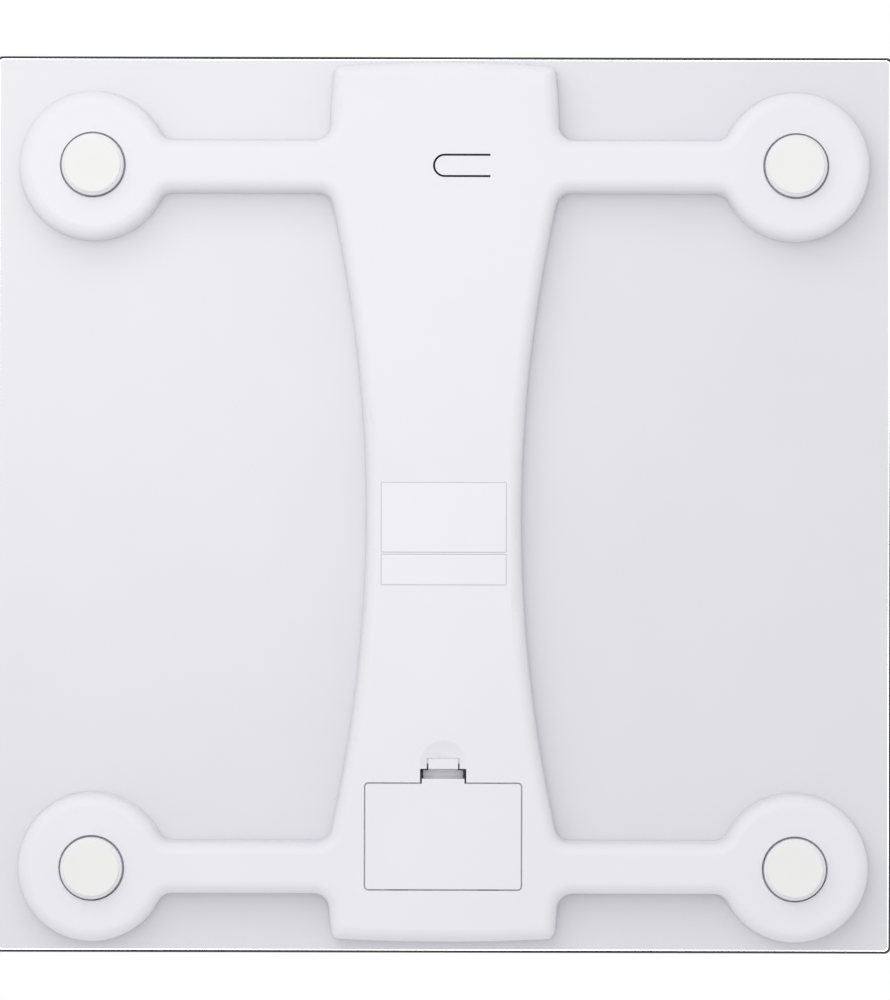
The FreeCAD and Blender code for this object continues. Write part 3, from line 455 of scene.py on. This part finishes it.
def steel(name, dark, light, roughness, grain, depth, stretch=EVEN):
    """A metal whose name says how its surface was made."""
    material, tree, shader = new_material(name, light, roughness, Metallic=1.0)
    drift(tree, shader, METAL_CLOUD, dark, light)
    relief(tree, shader, grain, depth, stretch)
    return material


dress(steel("nickel_plated_strip", "#C4BFB4", "#D0CBC0", roughness=0.25, grain=0.3 * MM,
            depth=0.002 * MM, stretch=(0.1, 1.0, 1.0)),
      "positive_terminal", "negative_terminal", "link_contact_left", "link_contact_right")
dress(steel("zinc_plated_screw", "#BFC3C8", "#CCD0D4", roughness=0.32, grain=0.2 * MM,
            depth=0.004 * MM),
      "board_screws")
dress(steel("ground_steel_plate", "#A7AAAE", "#B4B7BA", roughness=0.35, grain=0.25 * MM,
            depth=0.004 * MM, stretch=(0.04, 1.0, 1.0)),
      *["load_cell_" + corner for corner in CORNERS])

# %% [markdown]
# ## Circuit board
#
# The board is glass cloth in epoxy resin under a green solder mask. The mask is glossy, and the
# crossed threads of the cloth, about 0.5 mm apart, show through it as a faint weave. Two wave
# textures at right angles draw the threads. A wave texture repeats every tau / 20 of its own scaled
# coordinate, and that gives the scale that puts one thread in each pitch.

# %% Circuit board
THREAD_PITCH = 0.5 * MM


def wave_scale(pitch):
    """The scale at which a wave texture repeats once in each pitch."""
    return math.tau / 20 / pitch


def masked_laminate():
    """Green solder mask over woven glass cloth."""
    material, tree, shader = new_material("glass_epoxy_solder_mask", "#1E5A3A", roughness=0.28,
                                          IOR=1.5)
    drift(tree, shader, size=20 * MM, dark="#1A5235", light="#226340")
    place = add(tree, "TexCoord").outputs["Object"]
    warp, weft = [
        add(tree, "TexWave", {"Scale": wave_scale(THREAD_PITCH)}, {"Vector": place},
            bands_direction=axis).outputs["Fac"]
        for axis in ("X", "Y")
    ]
    cloth = add(tree, "Math", links={0: warp, 1: weft}, operation="ADD")
    bump = add(tree, "Bump", {"Strength": 1.0, "Distance": 0.004 * MM},
               {"Height": cloth.outputs[0]})
    tree.links.new(bump.outputs["Normal"], shader.inputs["Normal"])
    return material


dress(masked_laminate(), "main_board")

# %% [markdown]
# ## Display
#
# Behind the clear window lies the liquid crystal panel. Switched off, it shows only the grey-green
# of its polariser film under smooth glass, which the coat stands for. Two strips of striped rubber
# carry its signals down to the board. Their layers, black with carbon and pink without, are 0.1 mm
# thick in reality and drawn at 0.4 mm here. The same wave texture as on the board draws them.

# %% Display
LAYER_PITCH = 0.4 * MM
CARBON_LAYER, CLEAR_LAYER = "#2A2628", "#D9A3A8"


def polariser():
    """A dormant liquid crystal panel: grey-green and smooth."""
    material, tree, shader = new_material("polariser_film", "#99A192", roughness=0.35, IOR=1.5,
                                          Coat_Weight=1.0, Coat_Roughness=0.03)
    drift(tree, shader, size=18 * MM, dark="#959D8E", light="#9DA597")
    return material


def layered_rubber():
    """Rubber in thin dark and pink layers."""
    material, tree, shader = new_material("layered_silicone", CLEAR_LAYER, roughness=0.5, IOR=1.41)
    place = add(tree, "TexCoord").outputs["Object"]
    layers = add(tree, "TexWave", {"Scale": wave_scale(LAYER_PITCH)}, {"Vector": place},
                 bands_direction="X")
    colour = add(tree, "Mix", {MIX_A: linear(CARBON_LAYER), MIX_B: linear(CLEAR_LAYER)},
                 {0: layers.outputs["Fac"]}, data_type="RGBA")
    tree.links.new(colour.outputs[MIXED], shader.inputs["Base Color"])
    return material


dress(polariser(), "display_panel")
dress(layered_rubber(), "zebra_strip_front", "zebra_strip_rear")

# %% [markdown]
# ## Small plastic parts and leads
#
# The rest is hidden until the door is opened or the glass comes off. Each plastic has its own
# colour, gloss and grain, and one function covers them all: white ABS for the frame that holds the
# display, black glass-filled nylon for the switch, slippery acetal for its plunger, milky nylon
# for the bearing blocks, cast epoxy over the controller, and soft PVC on the leads and wires.

# %% Small plastic parts and leads
def plastic(name, dark, light, roughness, patch, grain, depth, ior):
    """A plain plastic whose name says how its surface was made."""
    material, tree, shader = new_material(name, light, roughness, IOR=ior)
    drift(tree, shader, patch, dark, light)
    relief(tree, shader, grain, depth)
    return material


dress(plastic("white_abs_moulded_frame", "#E4E4E5", "#E9E9EA", roughness=0.45, patch=12 * MM,
              grain=0.4 * MM, depth=0.006 * MM, ior=1.53),
      "display_holder")
dress(plastic("black_nylon_moulded", "#131314", "#1C1C1E", roughness=0.5, patch=3 * MM,
              grain=0.25 * MM, depth=0.01 * MM, ior=1.53),
      "unit_switch")
dress(plastic("acetal_moulded", "#D8D8D4", "#DFDFDC", roughness=0.3, patch=2 * MM,
              grain=0.2 * MM, depth=0.003 * MM, ior=1.48),
      "switch_plunger")
dress(plastic("epoxy_cast_black", "#0D0D0F", "#161618", roughness=0.15, patch=4 * MM,
              grain=1.5 * MM, depth=0.02 * MM, ior=1.55),
      "controller_chip")
dress(plastic("milky_nylon_moulded", "#DEDED8", "#E6E6E1", roughness=0.45, patch=6 * MM,
              grain=0.3 * MM, depth=0.006 * MM, ior=1.53),
      *["bearing_block_" + corner for corner in CORNERS])
dress(plastic("grey_pvc_ribbon", "#878A8E", "#94979A", roughness=0.42, patch=10 * MM,
              grain=0.8 * MM, depth=0.01 * MM, ior=1.54),
      *["cell_lead_" + corner for corner in CORNERS])
dress(plastic("red_pvc_sleeve", "#A51612", "#BD201A", roughness=0.38, patch=8 * MM,
              grain=0.5 * MM, depth=0.008 * MM, ior=1.54),
      "battery_wire_red")
dress(plastic("black_pvc_sleeve", "#141414", "#1F1F20", roughness=0.38, patch=8 * MM,
              grain=0.5 * MM, depth=0.008 * MM, ior=1.54),
      "battery_wire_black")

# %% [markdown]
# ## Floor
#
# The scale stands on a pale floor, but the main camera lies beneath it. So the floor shows only
# from above: to a camera, in a reflection and through glass. It is clear to every other ray, and
# light from below reaches the underside of the scale. Further out the paint gives way to plain
# white, so that no horizon line cuts through the picture.

# %% Floor paint
# Where the paint ends and the white starts, in metres from the middle
PAINT_END, WHITE_START = 0.5, 1.8


def seen_directly(tree):
    """1 for rays from the camera, in reflections and through glass, and 0 for all others."""
    rays = add(tree, "LightPath").outputs
    direct = add(tree, "Math", links={0: rays["Is Camera Ray"], 1: rays["Is Glossy Ray"]},
                 operation="MAXIMUM")
    seen = add(tree, "Math", links={0: direct.outputs[0], 1: rays["Is Transmission Ray"]},
               operation="MAXIMUM")
    return seen.outputs[0]


def floor_paint():
    """Matt pale paint that fades to white and shows only from above."""
    material, tree, paint = new_material("matt_floor_paint", "#F2F2F2", roughness=0.6)
    place = add(tree, "TexCoord").outputs["Object"]
    distance = add(tree, "VectorMath", links={0: place}, operation="LENGTH")
    fade = add(tree, "MapRange", {1: PAINT_END, 2: WHITE_START}, {0: distance.outputs["Value"]},
               interpolation_type="SMOOTHSTEP")
    white = add(tree, "Emission", {"Color": linear("#FFFFFF"), "Strength": 1.0})
    surface = add(tree, "MixShader",
                  links={0: fade.outputs[0], 1: paint.outputs[0], 2: white.outputs[0]})

    side = add(tree, "NewGeometry")
    above = add(tree, "Math", {0: 1.0}, {1: side.outputs["Backfacing"]}, operation="SUBTRACT")
    shown = add(tree, "Math", links={0: seen_directly(tree), 1: above.outputs[0]},
                operation="MULTIPLY")
    clear = add(tree, "BsdfTransparent")
    whole = add(tree, "MixShader",
                links={0: shown.outputs[0], 1: clear.outputs[0], 2: surface.outputs[0]})
    tree.links.new(whole.outputs[0], tree.nodes["Material Output"].inputs["Surface"])
    return material

# %% Floor
FLOOR_HALF = 6.0
FLOOR_DROP = 0.2 * MM


def pale_floor():
    """One large square under the feet."""
    mesh = bpy.data.meshes.new("floor")
    corners = [(x * FLOOR_HALF, y * FLOOR_HALF, -FLOOR_DROP)
               for x, y in ((-1, -1), (1, -1), (1, 1), (-1, 1))]
    mesh.from_pydata(corners, [], [(0, 1, 2, 3)])
    mesh.materials.append(floor_paint())
    floor = bpy.data.objects.new("floor", mesh)
    bpy.context.collection.objects.link(floor)
    print("floor %.0f m wide, %.1f mm below the feet" % (2 * FLOOR_HALF, FLOOR_DROP / MM))
    return floor


pale_floor()

# %% [markdown]
# ## Light
#
# A pale object on white needs gentle light, or its edges burn out. Most of it comes evenly from
# all round. The world does that: it is white to the eye, in reflections and through glass, and
# dimmer as a light.

# %% Even light
WORLD_LIGHT = 0.73


def studio_world():
    """White to the eye, a plain even light to everything else."""
    world = bpy.data.worlds.new("studio")
    world.use_nodes = True
    tree = world.node_tree
    plain = add(tree, "Background", {"Color": linear("#FFFFFF"), "Strength": WORLD_LIGHT})
    white = add(tree, "Background", {"Color": linear("#FFFFFF"), "Strength": 1.0})
    mix = add(tree, "MixShader",
              links={0: seen_directly(tree), 1: plain.outputs[0], 2: white.outputs[0]})
    tree.links.new(mix.outputs[0], tree.nodes["World Output"].inputs["Surface"])
    bpy.context.scene.world = world
    print("even light at %.2f" % WORLD_LIGHT)


studio_world()

# %% [markdown]
# ## Soft boxes
#
# Even light alone looks flat, so three soft boxes add a direction. A large one below stands off
# towards the display end and to one side, near enough for its light to fade across the base. A
# small one nearer the camera gives the rounded edges their thin bright line. The third lights the
# glass from above. It stays out of reflections, because the flat glass would show it as a hard
# white patch. An area lamp is the simplest soft box: the larger it is, the softer its shadows.

# %% Soft boxes
def soft_box(name, place, size, power, mirrored=True):
    """A square soft box that points at the scale; mirrored says whether reflections show it."""
    light = bpy.data.lights.new(name, "AREA")
    light.size = size
    light.energy = power
    lamp = bpy.data.objects.new(name, light)
    bpy.context.collection.objects.link(lamp)
    lamp.location = place
    lamp.rotation_euler = (-Vector(place)).to_track_quat("-Z", "Y").to_euler()
    lamp.visible_camera = False
    lamp.visible_glossy = mirrored
    print(name, "%.1f m wide, %.1f m away, %.1f W" % (size, Vector(place).length, power))


soft_box("soft_box_below", place=(0.24, 0.52, -0.8), size=0.9, power=2.5)
soft_box("gloss_box_below", place=(0.16, 0.14, -1.3), size=0.4, power=1.3)
soft_box("soft_box_above", place=(-0.1, -0.16, 2.4), size=1.2, power=14.0, mirrored=False)

# %% [markdown]
# ## Camera
#
# The camera lies on its back 2.6 metres below the glass and looks straight up, with the display
# end at the top of its picture. From that far the sides of the base hardly show, and straight
# lines stay straight. A long lens brings the scale back to full width. The scale lies a touch off
# the middle and askew, which the camera's place and roll give.

# %% Camera
CAMERA_DISTANCE = 2600 * MM
CAMERA_PLACE = (-0.4 * MM, 1.67 * MM)
CAMERA_ROLL = math.radians(-0.13)
CAMERA_LENS, SENSOR_WIDTH = 279.5, 36.0


def lying_camera():
    """A camera on its back under the middle of the scale."""
    camera_data = bpy.data.cameras.new("camera")
    camera_data.sensor_width = SENSOR_WIDTH
    camera_data.lens = CAMERA_LENS
    camera = bpy.data.objects.new("camera", camera_data)
    bpy.context.collection.objects.link(camera)
    camera.location = (*CAMERA_PLACE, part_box("platter_print")[0][2] - CAMERA_DISTANCE)
    camera.rotation_euler = (0, math.pi, CAMERA_ROLL)
    bpy.context.scene.camera = camera
    print("camera %.1f m below the print, %.1f mm lens" % (CAMERA_DISTANCE, CAMERA_LENS))


lying_camera()
bpy.context.scene.view_settings.view_transform = "Standard"
